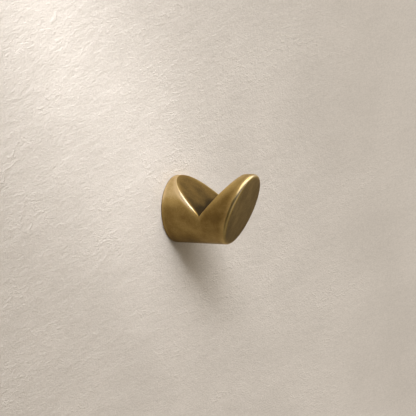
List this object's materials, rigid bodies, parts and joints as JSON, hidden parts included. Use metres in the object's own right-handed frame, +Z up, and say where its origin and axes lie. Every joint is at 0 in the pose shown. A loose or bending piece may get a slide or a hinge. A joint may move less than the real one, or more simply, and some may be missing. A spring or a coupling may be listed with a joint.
{
  "type": "coat hook",
  "caption": "Wall coat hook cut from solid round brass bar: a wide V notch across the top holds the loop, the flat front face leans outwards, the edges are soft and the fixing is hidden.",
  "frame": {"origin": "centre of the back face, on the wall", "axes": "+Z up, +Y into the wall, +X to the right of a person facing the wall; the hook stands out along -Y"},
  "size_m": [0.04, 0.0883, 0.04],
  "materials": {
    "aged_brass": "satin, aged, edges rubbed bright",
    "zinc_steel": "zinc plated"
  },
  "bodies": {
    "root": {"hook_body": "aged_brass", "hanger_bolt": "zinc_steel"}
  },
  "joints": []
}
